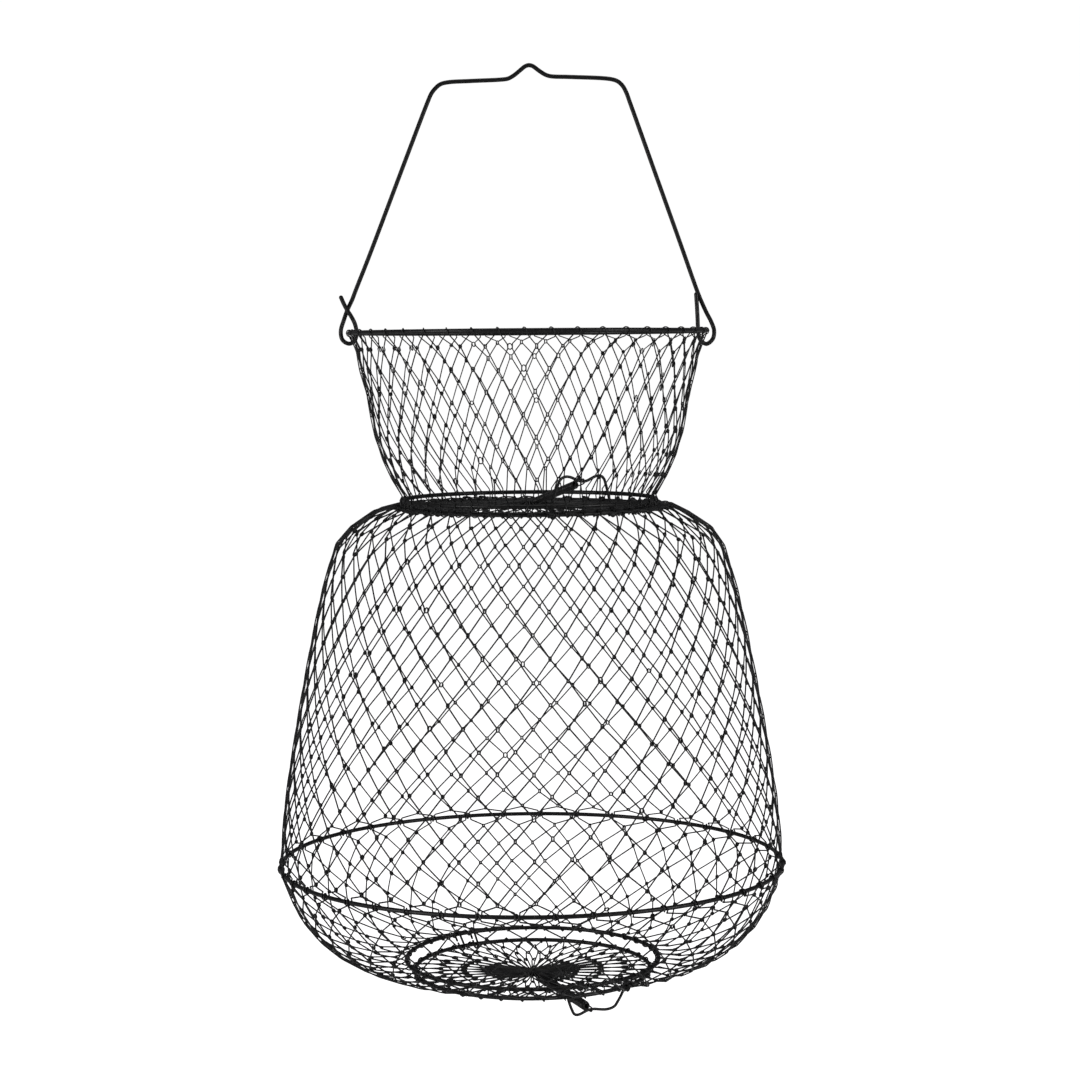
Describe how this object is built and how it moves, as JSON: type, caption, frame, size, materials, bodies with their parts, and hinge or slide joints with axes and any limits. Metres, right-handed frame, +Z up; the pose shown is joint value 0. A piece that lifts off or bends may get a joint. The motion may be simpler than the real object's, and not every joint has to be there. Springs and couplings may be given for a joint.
{
  "type": "folding crab trap",
  "caption": "Collapsible knitted-wire crab and fish keep trap on wire rings, with a funnel collar, sprung lid and bottom door, and a swing handle.",
  "frame": {"origin": "on the trap's axis, at the height of its lowest point, which is the door's spring", "axes": "+Z up along the trap's axis towards the handle, +X along the handle's pivots, -Y to the front, where both latches are"},
  "size_m": [0.3592, 0.3592, 0.6549],
  "materials": {
    "coated_wire": "semi-gloss black coating on steel wire",
    "net_wire": "knitted coated steel wire, semi-gloss black",
    "spring_wire": "blackened spring steel, satin"
  },
  "bodies": {
    "hoop": {"base_hoop": "coated_wire", "body_net": "net_wire", "bowl_net": "net_wire"},
    "neck": {"neck_ring": "coated_wire", "collar_ring": "coated_wire", "collar_net": "net_wire", "lid_hinge_clip_left": "coated_wire", "lid_hinge_clip_right": "coated_wire"},
    "rim": {"rim_ring": "coated_wire"},
    "bail": {"handle": "coated_wire"},
    "lid": {"lid_ring": "coated_wire", "lid_net": "net_wire", "lid_center_ring": "coated_wire", "lid_spring": "spring_wire"},
    "lid_catch": {"lid_latch": "coated_wire"},
    "bottom": {"bottom_ring": "coated_wire", "door_hinge_clip_left": "coated_wire", "door_hinge_clip_right": "coated_wire"},
    "door": {"door_ring": "coated_wire", "door_net": "net_wire", "door_center_ring": "coated_wire", "door_spring": "spring_wire"},
    "door_catch": {"door_latch": "coated_wire"}
  },
  "joints": [
    {"name": "body_fold", "type": "slide", "parent": "hoop", "child": "neck", "axis": [0, 0, -1], "range_m": [0, 0.2366], "deforming": ["body_net"]},
    {"name": "collar_fold", "type": "slide", "parent": "neck", "child": "rim", "axis": [0, 0, -1], "range_m": [0, 0.111], "deforming": ["collar_net"]},
    {"name": "bowl_fold", "type": "slide", "parent": "hoop", "child": "bottom", "axis": [0, 0, 1], "range_m": [0, 0.07], "deforming": ["bowl_net"]},
    {"name": "handle_swing", "type": "hinge", "parent": "rim", "child": "bail", "pos_m": [0, 0, 0.469], "axis": [1, 0, 0], "range_deg": [-60, 60]},
    {"name": "lid_swing", "type": "hinge", "parent": "neck", "child": "lid", "pos_m": [-0.03841, 0.07075, 0.346], "axis": [-0.8788, -0.4772, 0], "range_deg": [0, 70]},
    {"name": "lid_latch_swing", "type": "hinge", "parent": "lid", "child": "lid_catch", "pos_m": [0.03675, -0.06769, 0.346], "axis": [0.8788, 0.4772, 0], "range_deg": [-20, 25], "stiffness_Nm_per_rad": 0.02, "deforming": ["lid_spring"]},
    {"name": "door_swing", "type": "hinge", "parent": "bottom", "child": "door", "pos_m": [-0.04758, 0.06923, 0.01554], "axis": [0.8241, 0.5664, 0], "range_deg": [0, 95]},
    {"name": "door_latch_swing", "type": "hinge", "parent": "door", "child": "door_catch", "pos_m": [0.04563, -0.06639, 0.01554], "axis": [-0.8241, -0.5664, 0], "range_deg": [-20, 40], "stiffness_Nm_per_rad": 0.02, "deforming": ["door_spring"]}
  ],
  "couplings": [
    {"joint": "collar_fold", "follows": "body_fold", "ratio": 0.46915},
    {"joint": "bowl_fold", "follows": "body_fold", "ratio": 0.29586}
  ]
}
